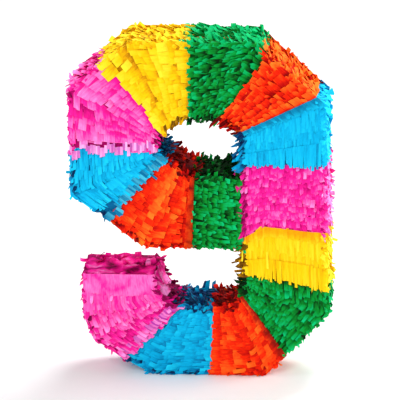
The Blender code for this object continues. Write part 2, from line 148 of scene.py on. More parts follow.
# How far a row's strips stray, in rows: usually, on a stepped last row, and where the tabs are long
STAGGER, STEPPED_STAGGER, LONG_STAGGER = 0.12, 0.4, 0.3
# Tabs from this length on are long
LONG_TAB = 0.025
# How much higher a band's last rows lie where they overlap the next band, and where they don't
LAP_RISE, END_RISE = 0.0022, -0.0012
# How far those rows are set back from the band's end, in tab lengths
LAP_BACK, END_BACK = 0.93, 1.0
# How far a band's rows start before its edge, and how far behind it where a header follows
START_UNDER, HEADER_BACK = 0.003, 0.002
# How far in from a skin's edge its tufts are glued
TUFT_INSET = 0.006
# How far tabs may shorten and lengthen where their band closes up or fans out
FAN_LIMITS = (0.55, 1.9)
# How much of the paper's streaked pattern one tab shows, across and along
TAB_PATTERN = (0.008, 0.02)
# How high the rows round the outer walls lie, and how many degrees tabs on walls turn aside
WALL_HEIGHT, WALL_TURN = -0.0012, 38
# How much of its normal points along an axis on a face that is square to it
SQUARE_ON = 0.9
# How far from an eyelet's middle the fringe stays, and how far above the floor
EYELET_ROOM, FLOOR_GAP = 0.0105, 0.0004
# How dark the backing is painted between the tabs, as painted shade for the gaps, on the flats and on the sides
BACKING_SHADE, SIDE_BACKING_SHADE = 0.2, 0.32
# Tabs cut shorter than this, by an eyelet and by the hatch, are left out
EYELET_STUB, HATCH_STUB = 0.003, 0.004
FLOOR_RADIUS, FLOOR_RIM, RIM_DROP = 6.0, 0.1, 0.06
LIGHTS_AIM = (0, 0, 0.27)

# Each tissue from its shaded folds to its lit edges
Tissue = namedtuple("Tissue", "deep dark middle light")
TISSUES = {
    "pink": Tissue((0.16, 0.0, 0.045), (0.55, 0.0, 0.16), (0.95, 0.012, 0.32), (1.0, 0.30, 0.74)),
    "blue": Tissue((0.0, 0.012, 0.07), (0.0, 0.16, 0.38), (0.0, 0.42, 0.74), (0.01, 0.66, 0.94)),
    "orange": Tissue((0.09, 0.0, 0.0), (0.45, 0.0, 0.0), (0.93, 0.018, 0.0), (1.0, 0.20, 0.015)),
    "green": Tissue((0.0, 0.010, 0.001), (0.0, 0.09, 0.008), (0.0, 0.28, 0.026), (0.0, 0.52, 0.16)),
    "yellow": Tissue((0.13, 0.05, 0.0), (0.66, 0.28, 0.0), (0.96, 0.57, 0.0), (1.0, 0.80, 0.03)),
}
# What a band's tissue looks like where it lies over its neighbour: its dark and its light tone
OVERLAYS = {
    1: ((0.48, 0.04, 0.38), (0.94, 0.24, 0.64)),
    3: ((0.12, 0.0, 0.0), (0.50, 0.015, 0.003)),
    5: ((0.80, 0.14, 0.0), (1.0, 0.46, 0.0)),
    6: ((0.36, 0.02, 0.30), (0.85, 0.08, 0.50)),
    7: ((0.0, 0.05, 0.14), (0.0, 0.26, 0.48)),
    10: ((0.80, 0.14, 0.0), (1.0, 0.55, 0.01)),
    11: ((0.60, 0.12, 0.50), (1.0, 0.42, 0.78)),
    12: ((0.0, 0.15, 0.32), (0.06, 0.46, 0.66)),
    13: ((0.16, 0.006, 0.0), (0.55, 0.05, 0.002)),
}


def deselect():
    if bpy.context.mode != "OBJECT":
        bpy.ops.object.mode_set(mode="OBJECT")
    bpy.ops.object.select_all(action="DESELECT")


def pick(obj):
    """Makes an object the only selected one, and the active one."""
    deselect()
    obj.select_set(True)
    bpy.context.view_layer.objects.active = obj


def apply_modifier(obj, kind, **settings):
    """Adds a modifier with these settings, and applies it."""
    pick(obj)
    bpy.ops.object.modifier_add(type=kind)
    modifier = obj.modifiers[-1]
    for setting, value in settings.items():
        setattr(modifier, setting, value)
    bpy.ops.object.modifier_apply(modifier=modifier.name)


def select_in_edit(obj, wanted):
    """Edit mode, with only the faces selected that the test accepts."""
    pick(obj)
    bpy.ops.object.mode_set(mode="EDIT")
    bpy.ops.mesh.select_mode(type="FACE")
    bpy.ops.mesh.select_all(action="DESELECT")
    mesh = bmesh.from_edit_mesh(obj.data)
    for face in mesh.faces:
        face.select = wanted(face)
    mesh.select_flush_mode()
    bmesh.update_edit_mesh(obj.data)


# Paper shapes, modelled once and laid many times

Shape = namedtuple("Shape", "spots faces")


def cut_shape(across, along, end_width=1.0, end_turn=0.0):
    """A piece of paper one unit long and wide, from its glued edge, divided so that it can bend."""
    deselect()
    bpy.ops.mesh.primitive_grid_add(x_subdivisions=across, y_subdivisions=along, size=1, location=(0, 0.5, 0))
    paper = bpy.context.object
    bpy.ops.object.transform_apply(location=True, rotation=True, scale=True)
    bpy.ops.object.mode_set(mode="EDIT")
    bpy.ops.mesh.select_mode(type="VERT")
    bpy.ops.mesh.select_all(action="DESELECT")
    mesh = bmesh.from_edit_mesh(paper.data)
    for vertex in mesh.verts:
        vertex.select = vertex.co.y > 0.99
    mesh.select_flush_mode()
    bmesh.update_edit_mesh(paper.data)
    bpy.ops.transform.resize(value=(end_width, 1, 1), center_override=(0, 1, 0))
    bpy.ops.transform.rotate(value=end_turn, orient_axis="Z", center_override=(0, 1, 0))
    bpy.ops.object.mode_set(mode="OBJECT")
    spots = np.array([vertex.co[:2] for vertex in paper.data.vertices])
    faces = np.array([face.vertices[:] for face in paper.data.polygons])
    bpy.data.meshes.remove(paper.data)
    return Shape(spots, faces)


@cache
def tab_shapes():
    return [
        cut_shape(2, 4),
        cut_shape(2, 4, end_turn=math.radians(14)),
        cut_shape(2, 4, end_turn=math.radians(-12)),
        cut_shape(2, 4, end_width=0.45),
        cut_shape(2, 4, end_width=0.7, end_turn=math.radians(20)),
    ]


@cache
def sheet_shape():
    return cut_shape(48, 28)


class Papers:
    """Loose papers, gathered as they are laid and then made into one mesh."""

    def __init__(self):
        self.points, self.faces, self.spots = [], [], []
        self.tones, self.overlays = [], []
        self.count = 0

    def lay(self, points, shape, tone, overlay, size):
        """Adds as many papers of one shape as points has rows."""
        papers, corners, _ = points.shape
        firsts = self.count + corners * np.arange(papers)
        self.count += papers * corners
        self.points.append(points.reshape(-1, 3))
        self.faces.append((shape.faces[None] + firsts[:, None, None]).reshape(-1, 4))
        self.tones.append(np.broadcast_to(tone, (papers, corners)).ravel())
        self.overlays.append(np.broadcast_to(overlay, (papers, corners)).ravel())
        shift = (firsts[:, None, None] * 0.618) % 1
        self.spots.append((shape.spots[None] * size + shift).reshape(-1, 2))

    def make(self, name):
        mesh = bpy.data.meshes.new(name)
        mesh.from_pydata(np.concatenate(self.points).tolist(), [], np.concatenate(self.faces).tolist())
        for attribute, values in (("tone", self.tones), ("overlay", self.overlays)):
            made = mesh.attributes.new(attribute, "FLOAT", "POINT")
            made.data.foreach_set("value", np.concatenate(values).astype(np.float32))
        corners = np.array([loop.vertex_index for loop in mesh.loops])
        spots = np.concatenate(self.spots)[corners]
        mesh.uv_layers.new(name="paper").data.foreach_set("uv", spots.astype(np.float32).ravel())
        obj = bpy.data.objects.new(name, mesh)
        bpy.context.scene.collection.objects.link(obj)
        return obj


# Where the papers go: lines, patches of skin and the bands


def run_along(points, share):
    """Points at shares of a line's length, carried on straight past its two ends."""
    steps = np.linalg.norm(np.diff(points, axis=0), axis=1)
    marks = np.concatenate([[0], np.cumsum(steps)]) / steps.sum()
    edge = np.clip(np.searchsorted(marks, share, side="right") - 1, 0, len(steps) - 1)
    within = (share - marks[edge]) / (marks[edge + 1] - marks[edge])
    return points[edge] + (points[edge + 1] - points[edge]) * within[..., None]


def length_of(points):
    return np.linalg.norm(np.diff(points, axis=0), axis=1).sum()


def set_cut(number):
    """A band's cut, with the changes that the fringe settings ask for."""
    cut, fringe = CUTS[number], bpy.context.scene.pinata_fringe
    return cut._replace(
        row=cut.row * fringe.row_factor,
        tab=cut.tab * fringe.tab_factor,
        length=cut.length * fringe.length_factor,
        mess=cut.mess * fringe.ruffle,
    )


class Patch:
    """A four-sided stretch of skin. Along goes from start to end, across from the near to the far edge."""

    def __init__(self, near, far, start, end, facing, loft=FLAT_LOFT):
        self.edges = [np.array(edge, float) for edge in (near, far, start, end)]
        self.side = 1.0
        self.loft = loft
        middle = np.array([0.5])
        _, normal = self.surface(middle, middle)
        self.side = math.copysign(1.0, normal[0] @ np.array(facing))
        near, far, start, end = self.edges
        self.length = (length_of(near) + length_of(far)) / 2
        self.width = (length_of(start) + length_of(end)) / 2

    def point(self, along, across):
        near, far, start, end = (
            run_along(edge, share) for edge, share in zip(self.edges, (along, along, across, across))
        )
        a, b = along[..., None], across[..., None]
        near_side, far_side = (edge[0] * (1 - a) + edge[-1] * a for edge in self.edges[:2])
        bilinear = near_side * (1 - b) + far_side * b
        return near * (1 - b) + far * b + start * (1 - a) + end * a - bilinear

    def slopes(self, along, across):
        """How the surface moves for one unit along and for one unit across."""
        step = 1e-3
        by_along = self.point(along + step, across) - self.point(along - step, across)
        by_across = self.point(along, across + step) - self.point(along, across - step)
        return by_along / (2 * step), by_across / (2 * step)

    def surface(self, along, across):
        by_along, by_across = self.slopes(along, across)
        normal = np.cross(by_along, by_across) * self.side
        normal /= np.linalg.norm(normal, axis=-1, keepdims=True) + 1e-12
        return self.point(along, across), normal

    def raised(self, along, across, height):
        point, normal = self.surface(along, across)
        return point + normal * height[..., None]


class Band:
    """One band of the nine: its outline on the front, and the patches of skin that its fringe covers."""

    def __init__(self, number, colour):
        self.number = number
        self.name = f"band_{number:02d}_{colour}"
        self.colour = colour
        self.cut = set_cut(number)
        self.front_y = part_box(f"{self.name}_front")[0].y
        self.back_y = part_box(f"{self.name}_back")[1].y
        loop = outline_at(NODES[f"{self.name}_front"], self.front_y)
        outer, fold = self.sort_corners(loop)
        self.chains(loop, outer, fold)

    def sort_corners(self, loop):
        """Which corners of the outline are on the outer edge, and which on an inner wall."""
        side = corners_of(NODES[f"{self.name}_side"])
        front = corners_of(NODES[f"{self.name}_front"])
        folded = front[front[:, 1] > 0][:, [0, 2]]
        outer = near_any(loop, side[:, [0, 2]])
        return outer, near_any(loop, folded) & ~outer

    def chains(self, loop, outer, fold):
        """Parts the outline into its outer and inner edges and the two ends between them."""
        inner = fold.copy()
        if self.number in STEM:
            inner |= (loop[:, 0] < loop[:, 0].min() + 0.001) & ~outer
        if self.number == TAIL:
            tip = np.argmax(loop[:, 1] - loop[:, 0])
            by_mouth = (loop[:, 0] > loop[:, 0].mean() - 0.01) & (loop[:, 1] > 0.1)
            inner |= outer & by_mouth & (np.arange(len(loop)) != tip)
            outer = outer & ~inner
        count = len(loop)
        first = next(i for i in range(count) if outer[i] and not outer[i - 1])
        turned = np.roll(np.arange(count), -first)
        outer_run = [i for i in turned if outer[i]]
        inner_run = [i for i in turned if inner[i]]
        ends = [list(turned).index(i) for i in (outer_run[-1], inner_run[0], inner_run[-1])]
        self.outer = loop[outer_run]
        self.inner = loop[inner_run][::-1]
        self.fold = loop[[i for i in inner_run if fold[i] or self.number == TAIL]][::-1]
        out = self.outer.mean(0) - self.inner.mean(0)
        # Painted light and shade: the outer tufts and walls are toned lighter on the band's right and top and
        # darker on its left and bottom, as lit from the upper right
        self.edge_tone = 0.50 + 0.18 * (out[0] + out[1]) / np.linalg.norm(out)
        self.end = loop[turned[ends[0] : ends[1] + 1]][::-1]
        self.start = loop[[*turned[ends[2] :], turned[0]]]

    def flat(self, y, facing):
        edges = (at_depth(edge, y) for edge in (self.inner, self.outer, self.start, self.end))
        return Patch(*edges, (0, facing, 0))

    def front(self):
        return self.flat(self.front_y, -1)

    def back(self):
        return self.flat(self.back_y, 1)

    def wall(self, chain, turn):
        """The skin of a wall, from the front to the back. Turn is 1 for the outer and -1 for an inner one."""
        low, high = self.front_y + EDGE_SINK, self.back_y - EDGE_SINK
        middle = len(chain) // 2
        step = (chain[middle] - chain[middle - 1]) * turn
        ends = [[(x, low, z), (x, high, z)] for x, z in (chain[0], chain[-1])]
        return Patch(at_depth(chain, low), at_depth(chain, high), *ends, (step[1], 0, -step[0]), WALL_LOFT)

    def side(self):
        return self.wall(self.outer, 1)

    def inside(self):
        return self.wall(self.fold, -1)


def corners_of(node):
    return np.array([vertex.co for vertex in node.data.vertices])


def near_any(points, targets, reach=0.0007):
    """Which points have a target within reach."""
    return np.array([np.linalg.norm(targets - point, axis=1).min() < reach for point in points])


def at_depth(chain, y):
    return [(x, y, z) for x, z in chain]


def outline_at(node, y):
    """The corners of a node's flat face at this depth, as (x, z), turning left as seen from the front."""
    mesh = bmesh.new()
    mesh.from_mesh(node.data)
    bmesh.ops.remove_doubles(mesh, verts=mesh.verts, dist=1e-5)
    flat = {face for face in mesh.faces if all(abs(v.co.y - y) < 1e-5 for v in face.verts)}
    following = {}
    for face in flat:
        for loop in face.loops:
            if len(flat.intersection(loop.edge.link_faces)) == 1:
                following[loop.vert] = loop.link_loop_next.vert
    first = next(iter(following))
    run = [first]
    while following[run[-1]] != first:
        run.append(following[run[-1]])
    points = np.array([(v.co.x, v.co.z) for v in run])
    mesh.free()
    after = np.roll(points, -1, axis=0)
    area = (points[:, 0] * after[:, 1] - points[:, 1] * after[:, 0]).sum()
    return points if area > 0 else points[::-1]


# Laying the fringe


def bend(length, lift, curl, v):
    """How far forward and up a paper reaches at v of its length, when it leaves at lift and curls on."""
    curl = np.where(np.abs(curl) < 1e-3, 1e-3, curl)
    forward = (np.sin(lift + curl * v) - np.sin(lift)) / curl
    up = (np.cos(lift) - np.cos(lift + curl * v)) / curl
    return length * forward, length * up


def fan_of(patch, tabs):
    """How much longer tabs are where their band fans out, or shorter where it closes up."""
    stride = np.linalg.norm(patch.slopes(tabs["along"], tabs["across"])[0], axis=-1)
    return (stride / patch.length).clip(*FAN_LIMITS) ** tabs["fanned"]


def lay_tabs(papers, patch, shape, flow, tabs):
    """Lays papers of one shape. Each value in tabs holds one number per paper."""
    u, v = shape.spots.T
    each = {name: values[:, None] for name, values in tabs.items()}
    by_along, by_across = patch.slopes(tabs["along"], tabs["across"])
    stride = np.linalg.norm(by_along, axis=-1)[:, None]
    span = np.linalg.norm(by_across, axis=-1)[:, None]
    forward, up = bend(each["length"] * fan_of(patch, tabs)[:, None], each["lift"], each["curl"], v)
    sideways = each["width"] * u
    turn = each["yaw"]
    along = each["along"] + flow * (forward * np.cos(turn) - sideways * np.sin(turn)) / stride
    across = each["across"] + (forward * np.sin(turn) + sideways * np.cos(turn)) / span
    height = each["height"] + up + sideways * each["tilt"] + each["cup"] * (0.25 - u**2) * each["width"]
    height -= CORNER_DROP * (1 - np.minimum(across, 1 - across) * span / CORNER_REACH).clip(0, 1) ** 2
    height = np.where(height > 0, patch.loft * np.tanh(height / patch.loft), height)
    points = patch.raised(along, across, height)
    tone = each["tone"] + each["shade"] * np.interp(v, *SHADING)
    overlay = each["overlay"] * (1 - each["fade"] * v)
    papers.lay(points, shape, tone.clip(0, 1), overlay, np.array(TAB_PATTERN))


def chosen_from(values, chosen):
    return {name: value[chosen] for name, value in values.items()}


def lay_shapes(papers, patch, cut, rng, tabs):
    """Lays tabs, some of them cut to odder shapes than the plain one."""
    shapes = tab_shapes()
    count = len(tabs["along"])
    kinds = np.where(rng.random(count) < cut.taper, rng.integers(1, len(shapes), count), 0)
    for kind, shape in enumerate(shapes):
        if (kinds == kind).any():
            lay_tabs(papers, patch, shape, cut.flow, chosen_from(tabs, kinds == kind))


def row_tabs(
    patch, cut, rng, at, reach=(0.0, 1.0), overlay=0.0, lean=0.0, height=0.0,
    tone=0.5, turn=9.0, steps=STAGGER, head=(0, 0), fade=0.0, root_tidy=1.0,
):
    """One row of fringe across a patch, each tab a little different.

    The row is laid in a few strips that don't quite line up, and steps is how far they stray. Long tabs stray
    one by one. Lean is how much more the tabs stand up, turn is how far they stray from the band's direction,
    head is how much of the band is taken up before its rows, fade is how far the overlay fades towards the
    tips, and root_tidy is how much of the straying their roots take part in.
    """
    _, by_across = patch.slopes(np.array([at]), np.array([0.5]))
    row_width = np.linalg.norm(by_across[0]) * (reach[1] - reach[0])
    count = max(3, round(row_width / cut.tab))
    widths = rng.uniform(0.7, 1.3, count)
    widths *= (reach[1] - reach[0]) / widths.sum()
    across = reach[0] + np.cumsum(widths) - widths / 2
    mess = cut.mess
    strips = count if steps == LONG_STAGGER else rng.integers(2, 5)
    share = (across - reach[0]) / (reach[1] - reach[0])
    strip = np.searchsorted(np.sort(rng.random(strips - 1)), share)
    shift = rng.normal(0, steps, strips)[strip] * cut.row
    hue = rng.normal(0, cut.streak) + rng.normal(0, 0.4 * cut.streak, strips)[strip]
    wild = rng.random(count) < 0.09 * mess
    lift = np.radians(cut.lift + lean) + rng.normal(0, math.radians(5) * mess, count)
    lift += wild * rng.uniform(0.2, 0.9, count)
    taken = head[0] + (head[1] - head[0]) * across
    stray = (shift + rng.normal(0, 0.07 * cut.row * mess, count)) * root_tidy
    return {
        "along": taken + (1 - taken) * at + stray / patch.length,
        "across": across,
        "width": widths * row_width / (reach[1] - reach[0]) * rng.uniform(0.95, 1.2, count),
        "length": cut.length * rng.normal(1, 0.05 + 0.10 * mess, count).clip(0.6, 1.4),
        "lift": lift.clip(math.radians(1), math.radians(80)),
        "curl": rng.normal(-0.05, 0.35 * mess, count) + wild * rng.uniform(-0.2, 0.8, count),
        "yaw": rng.normal(0, math.radians(turn) * mess, count),
        "height": height - ROOT_SINK + rng.uniform(0, 0.0007, count),
        "tilt": rng.normal(0, 0.14 * mess, count),
        "cup": rng.normal(0.05, 0.15 * mess, count),
        # Wild tabs get a painted highlight, 0.28 lighter, for their curled tips catching the light
        "tone": tone + hue + rng.normal(0, 0.05 + 0.10 * mess, count) + 0.28 * wild,
        "overlay": overlay * rng.uniform(0.45, 1.0, count),
        "fade": np.full(count, fade),
        "fanned": np.ones(count),
        "shade": np.full(count, min(1.0, 1.6 * mess)),
    }


def lay_fringe(
    papers, patch, cut, rng, stretch=(0.0, 1.0), over=0.0, end_steps=STAGGER, keep=None, height=0.0, **row
):
    """Rows of fringe over a stretch of a patch, the first at the end that the tabs point away from.

    Over is how much higher the last rows lie, end_steps is how far the last row's strips stray, and keep may
    cut or drop the tabs of a row.
    """
    low, high = stretch
    count = max(3, round(patch.length * (high - low) / cut.row) + 1)
    for k in range(count):
        share = k / (count - 1)
        at = low + (high - low) * (share if cut.flow > 0 else 1 - share)
        rise = height + over * max(0.0, (share - 0.6) / 0.4)
        steps = LONG_STAGGER if cut.length > LONG_TAB else STAGGER
        if k == count - 1:
            steps = end_steps
        tabs = row_tabs(patch, cut, rng, at, height=rise, steps=steps, **row)
        lay_shapes(papers, patch, cut, rng, keep(patch, tabs) if keep else tabs)


def lay_tufts(papers, patch, cut, rng, edge, tone, spacing=0.007, length=0.009, out=(20, 70)):
    """Tabs that stray out over one of a patch's long edges: 0 is the near one and 1 the far one."""
    line = patch.edges[edge]
    count = max(3, round(length_of(line) / spacing))
    sign = 1 if edge else -1
    _, by_across = patch.slopes(np.array([0.5]), np.array([0.5]))
    inset = TUFT_INSET / np.linalg.norm(by_across[0])
    tabs = {
        "along": (np.arange(count) + rng.uniform(0, 1, count)) / count,
        "across": edge - sign * inset * rng.uniform(0.5, 1.7, count),
        "width": rng.uniform(0.0035, 0.0075, count),
        "length": length * rng.uniform(0.7, 1.25, count),
        "lift": np.radians(rng.uniform(2, 26, count)),
        "curl": rng.uniform(-0.6, 0.5, count),
        "yaw": sign * np.radians(rng.uniform(*out, count)),
        "height": -0.001 + rng.uniform(0, 0.0015, count),
        "tilt": rng.normal(0, 0.2, count),
        "cup": rng.normal(0, 0.2, count),
        "tone": tone + rng.normal(0, 0.16, count),
        "overlay": np.zeros(count),
        "fade": np.zeros(count),
        "fanned": np.zeros(count),
        "shade": np.full(count, 0.6),
    }
    lay_shapes(papers, patch, cut._replace(taper=0.6), rng, tabs)


def lay_sheet(
    papers, patch, rng, stretch, height, crumple, tone,
    reach=(0.0, 1.0), far_stretch=None, overlay=0.0, fine=42.0, contrast=0.25,
):
    """An uncut piece of tissue over part of a patch, with soft creases, painted darker in the creases and lighter
    on the folds as painted shade and light. Overlay fades from its last edge.
    """
    shape = sheet_shape()
    u, v = shape.spots.T
    across = reach[0] + (reach[1] - reach[0]) * (u + 0.5)
    low, high = stretch
    if far_stretch:
        low = low + (far_stretch[0] - low) * across
        high = high + (far_stretch[1] - high) * across
    along = low + (high - low) * v
    seed = Vector(rng.uniform(0, 50, 3))
    flat = patch.point(along[None], across[None])[0]
    folds = np.array([noise.fractal(Vector(p) * fine + seed, 0.8, 2.1, 4) for p in flat])
    creases = np.array([abs(noise.noise(Vector(p) * fine * 0.6 + seed)) for p in flat])
    stride = np.linalg.norm(patch.slopes(along[None], across[None])[1][0], axis=-1)
    drop = CORNER_DROP * (1 - np.minimum(across, 1 - across) * stride / CORNER_REACH).clip(0, 1) ** 2
    lie = height + crumple * (folds + 0.8 - 2 * creases) - drop
    points = patch.raised(along[None], across[None], lie[None])
    size = np.array([patch.width * (reach[1] - reach[0]), patch.length * 0.2])
    # Painted shade in the creases and painted light on the folds
    shaded_tint = np.clip(tone + contrast * (folds + 0.7 - 4.6 * (0.3 - creases).clip(0, 0.3)), 0, 1)
    papers.lay(points, shape, shaded_tint, overlay * (0.35 + 0.65 * v), size)


def sunk_backing(node, showing, shade=BACKING_SHADE):
    """A copy of a CAD skin with its showing faces moved in, for the fringe to be glued to. Its tone is a dark
    painted shade for the gaps between the tabs.
    """
    deselect()
    backing = NODES[node].copy()
    backing.data = NODES[node].data.copy()
    backing.name = f"{node}_backing"
    backing.parent = None
    for key in list(backing.keys()):
        del backing[key]
    bpy.context.scene.collection.objects.link(backing)
    backing.hide_render = backing.hide_viewport = False
    backing.data.materials.clear()
    pick(backing)
    bpy.ops.object.mode_set(mode="EDIT")
    bpy.ops.mesh.select_all(action="SELECT")
    bpy.ops.mesh.remove_doubles(threshold=1e-5)
    select_in_edit(backing, showing)
    bpy.ops.transform.shrink_fatten(value=-BACKING_SINK, use_even_offset=True)
    bpy.ops.object.mode_set(mode="OBJECT")
    tone = backing.data.attributes.new("tone", "FLOAT", "POINT")
    tone.data.foreach_set("value", np.full(len(backing.data.vertices), shade, np.float32))
    return backing


def on_chain(chain, point, reach=0.0003):
    """Whether a point, as (x, z), lies on a run of edges."""
    starts, steps = chain[:-1], np.diff(chain, axis=0)
    share = ((point - starts) * steps).sum(1) / (steps**2).sum(1)
    nearest = starts + steps * share.clip(0, 1)[:, None]
    return np.linalg.norm(nearest - point, axis=1).min() < reach


def finish_piece(papers, backing, name, node, material, body="nine"):
    """Gives the papers their thickness, joins the backing on, and hands the piece to the frame."""
    piece = papers.make(name)
    apply_modifier(piece, "SOLIDIFY", thickness=bpy.context.scene.pinata_fringe.paper, offset=0)
    pick(piece)
    backing.select_set(True)
    bpy.ops.object.join()
    piece.name = name
    piece.data.materials.clear()
    piece.data.materials.append(material)
    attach(piece, body)
    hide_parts(node)


def finish_skin(papers, backing, band, node):
    """A band's finished fringe, kept clear of the floor."""
    for points in papers.points:
        points[:, 2] = points[:, 2].clip(FLOOR_GAP)
    finish_piece(papers, backing, f"{node}_fringe", node, tissue_for(band))


# Finishes


class Value:
    """A shader socket in sums: value * 2 + 1 adds its Math nodes."""

    def __init__(self, finish, socket):
        self.finish, self.socket = finish, socket

    def _with(self, operation, first, second):
        return self.finish.node("ShaderNodeMath", {"operation": operation}, {0: first, 1: second})

    def __add__(self, other):
        return self._with("ADD", self, other)

    def __sub__(self, other):
        return self._with("SUBTRACT", self, other)

    def __rsub__(self, other):
        return self._with("SUBTRACT", other, self)

    def __mul__(self, other):
        return self._with("MULTIPLY", self, other)

    __radd__ = __add__
    __rmul__ = __mul__


class Finish:
    """A material made of nodes that feed one Principled shader."""

    def __init__(self, name, **constants):
        self.material = bpy.data.materials.new(name)
        self.material.use_nodes = True
        self.tree = self.material.node_tree
        self.shader = self.tree.nodes["Principled BSDF"]
        for socket, value in constants.items():
            self.shader.inputs[socket.replace("_", " ")].default_value = value

    def node(self, kind, settings=None, sockets=None, output=0):
        """A node with its settings made first, then its sockets set or linked."""
        made = self.tree.nodes.new(kind)
        for setting, value in (settings or {}).items():
            if setting == "stops":
                set_stops(made.color_ramp, value)
            else:
                setattr(made, setting, value)
        for socket, value in (sockets or {}).items():
            if isinstance(value, Value):
                self.tree.links.new(value.socket, made.inputs[socket])
            else:
                made.inputs[socket].default_value = value
        return Value(self, made.outputs[output])

    def feed(self, socket, value):
        self.tree.links.new(value.socket, self.shader.inputs[socket])

    def attribute(self, name):
        return self.node("ShaderNodeAttribute", {"attribute_name": name}, output="Fac")

    def noise(self, place, scale, detail=3.0, roughness=0.5, distortion=0.0):
        sockets = {"Vector": place, "Scale": scale, "Detail": detail}
        sockets.update({"Roughness": roughness, "Distortion": distortion})
        return self.node("ShaderNodeTexNoise", None, sockets)

    def wave(self, place, direction, scale, distortion=0.0):
        sockets = {"Vector": place, "Scale": scale, "Distortion": distortion}
        return self.node("ShaderNodeTexWave", {"bands_direction": direction}, sockets)

    def object_place(self):
        return self.node("ShaderNodeTexCoord", output="Object")

    def mapped(self, place, scale):
        return self.node("ShaderNodeMapping", None, {"Vector": place, "Scale": scale})

    def ramp(self, value, *stops):
        return self.node("ShaderNodeValToRGB", {"stops": stops}, {"Fac": value})

    def mix(self, share, first, second):
        sockets = {0: share, 6: first, 7: second}
        return self.node("ShaderNodeMix", {"data_type": "RGBA"}, sockets, output=2)

    def bump(self, height, strength, distance):
        sockets = {"Height": height, "Strength": strength, "Distance": distance}
        return self.node("ShaderNodeBump", None, sockets)


def set_stops(ramp, stops):
    while len(ramp.elements) < len(stops):
        ramp.elements.new(0.5)
    for element, (place, colour) in zip(ramp.elements, stops):
        element.position = place
        element.color = (*colour, 1)


def tissue_finish(name, tissue, overlay):
    """Dyed tissue paper: each tab its own tone, streaked and crinkled along its length. The tone attribute also
    carries the painted shade and light that the tabs, tufts and backings are given.
    """
    finish = Finish(name, Specular_IOR_Level=0.08)
    place = finish.node("ShaderNodeUVMap", {"uv_map": "paper"})
    streaks = finish.noise(finish.mapped(place, (700, 60, 1)), 1.0, 2.0)
    crinkle = finish.noise(finish.mapped(place, (180, 110, 1)), 1.0, 4.0, 0.6, 0.4)
    tone = finish.attribute("tone") + (streaks - 0.5) * 0.35 + (crinkle - 0.5) * 0.45
    colour = finish.ramp(tone, *zip((0.0, 0.22, 0.5, 0.95), tissue))
    sheer = finish.ramp(tone, (0.15, overlay[0]), (0.8, overlay[1]))
    over = finish.attribute("overlay") * (0.75 + 0.5 * crinkle)
    finish.feed("Base Color", finish.mix(over, colour, sheer))
    finish.feed("Roughness", 0.55 + 0.3 * crinkle)
    finish.feed("Normal", finish.bump(streaks * 0.4 + crinkle, 0.35, 0.0004))
    return finish.material


def board_finish(board):
    """Kraft board: long fibres, flecks, and the faint lines of the flutes underneath."""
    finish = Finish("kraft_board", Specular_IOR_Level=0.2)
    place = finish.object_place()
    fibres = finish.noise(finish.mapped(place, (90, 90, 900)), 1.0, 5.0, 0.65)
    flecks = finish.noise(place, 900.0, 2.0)
    flutes = finish.wave(place, "X", 45.0, 0.4)
    tone = fibres * 0.7 + flecks * 0.2 + flutes * 0.12
    finish.feed("Base Color", finish.ramp(tone, *zip((0.25, 0.55, 0.85), shades(board, 0.68, 1, 1.3))))
    finish.feed("Roughness", 0.72 + 0.2 * flecks)
    finish.feed("Normal", finish.bump(flutes * 0.6 + fibres * 0.5, 0.4, 0.0003))
    return finish.material


def tape_finish(tape):
    """Gummed paper tape: smoother and paler than the board, a little shiny where it was wetted."""
    finish = Finish("gummed_tape", Specular_IOR_Level=0.4)
    place = finish.object_place()
    fibres = finish.noise(finish.mapped(place, (300, 300, 80)), 1.0, 4.0)
    wet = finish.noise(place, 25.0, 3.0)
    finish.feed("Base Color", finish.ramp(fibres, *zip((0.3, 0.7), shades(tape, 0.84, 1.16))))
    finish.feed("Roughness", 0.35 + 0.35 * wet)
    finish.feed("Normal", finish.bump(fibres, 0.2, 0.0002))
    return finish.material


def brass_finish(brass):
    """Pressed brass, a little tarnished, with fine scuffs along the bore."""
    finish = Finish("pressed_brass", Metallic=1.0)
    place = finish.object_place()
    tarnish = finish.noise(place, 350.0, 3.0)
    scuffs = finish.noise(finish.mapped(place, (2500, 2500, 300)), 1.0, 2.0)
    finish.feed("Base Color", finish.ramp(tarnish, *zip((0.3, 0.7), shades(brass, 0.75, 1.25))))
    finish.feed("Roughness", 0.18 + 0.2 * tarnish + 0.1 * scuffs)
    return finish.material


def satin_finish(ribbon):
    """White satin ribbon, with its fine ribs across."""
    finish = Finish("satin_ribbon", Specular_IOR_Level=0.5, Sheen_Weight=0.4)
    place = finish.object_place()
    ribs = finish.wave(place, "Z", 900.0)
    tone = finish.noise(place, 120.0, 2.0) * 0.6 + ribs * 0.4
    finish.feed("Base Color", finish.ramp(tone, *zip((0.3, 0.7), shades(ribbon, 0.82, 1.08))))
    finish.feed("Roughness", 0.25 + 0.2 * ribs)
    finish.feed("Normal", finish.bump(ribs, 0.25, 0.0001))
    return finish.material


def shades(colour, *factors):
    """A colour made darker or lighter by each of the factors."""
    return [tuple(min(1.0, part * factor) for part in colour) for factor in factors]


def dyed(tone, wanted, usual):
    """A tissue's darker or lighter tone, moved as far as its middle colour was moved from the usual one."""
    share = min(1.0, max(tone) / max(usual))
    return tuple(min(1.0, max(0.0, a + (b - c) * share)) for a, b, c in zip(tone, wanted, usual))


def tissue_for(band):
    """The finish of a band's tissue, made once and shared by its front, side and back."""
    name = f"{band.name}_tissue"
    found = bpy.data.materials.get(name)
    if found:
        return found
    usual = TISSUES[band.colour]
    wanted = getattr(bpy.context.scene.pinata_colours, band.colour)
    tissue = Tissue(*(dyed(tone, wanted, usual.middle) for tone in usual))
    return tissue_finish(name, tissue, OVERLAYS.get(band.number, tissue[:2]))


# Operators


def all_bands():
    return [Band(number, colour) for number, colour in BANDS.items()]


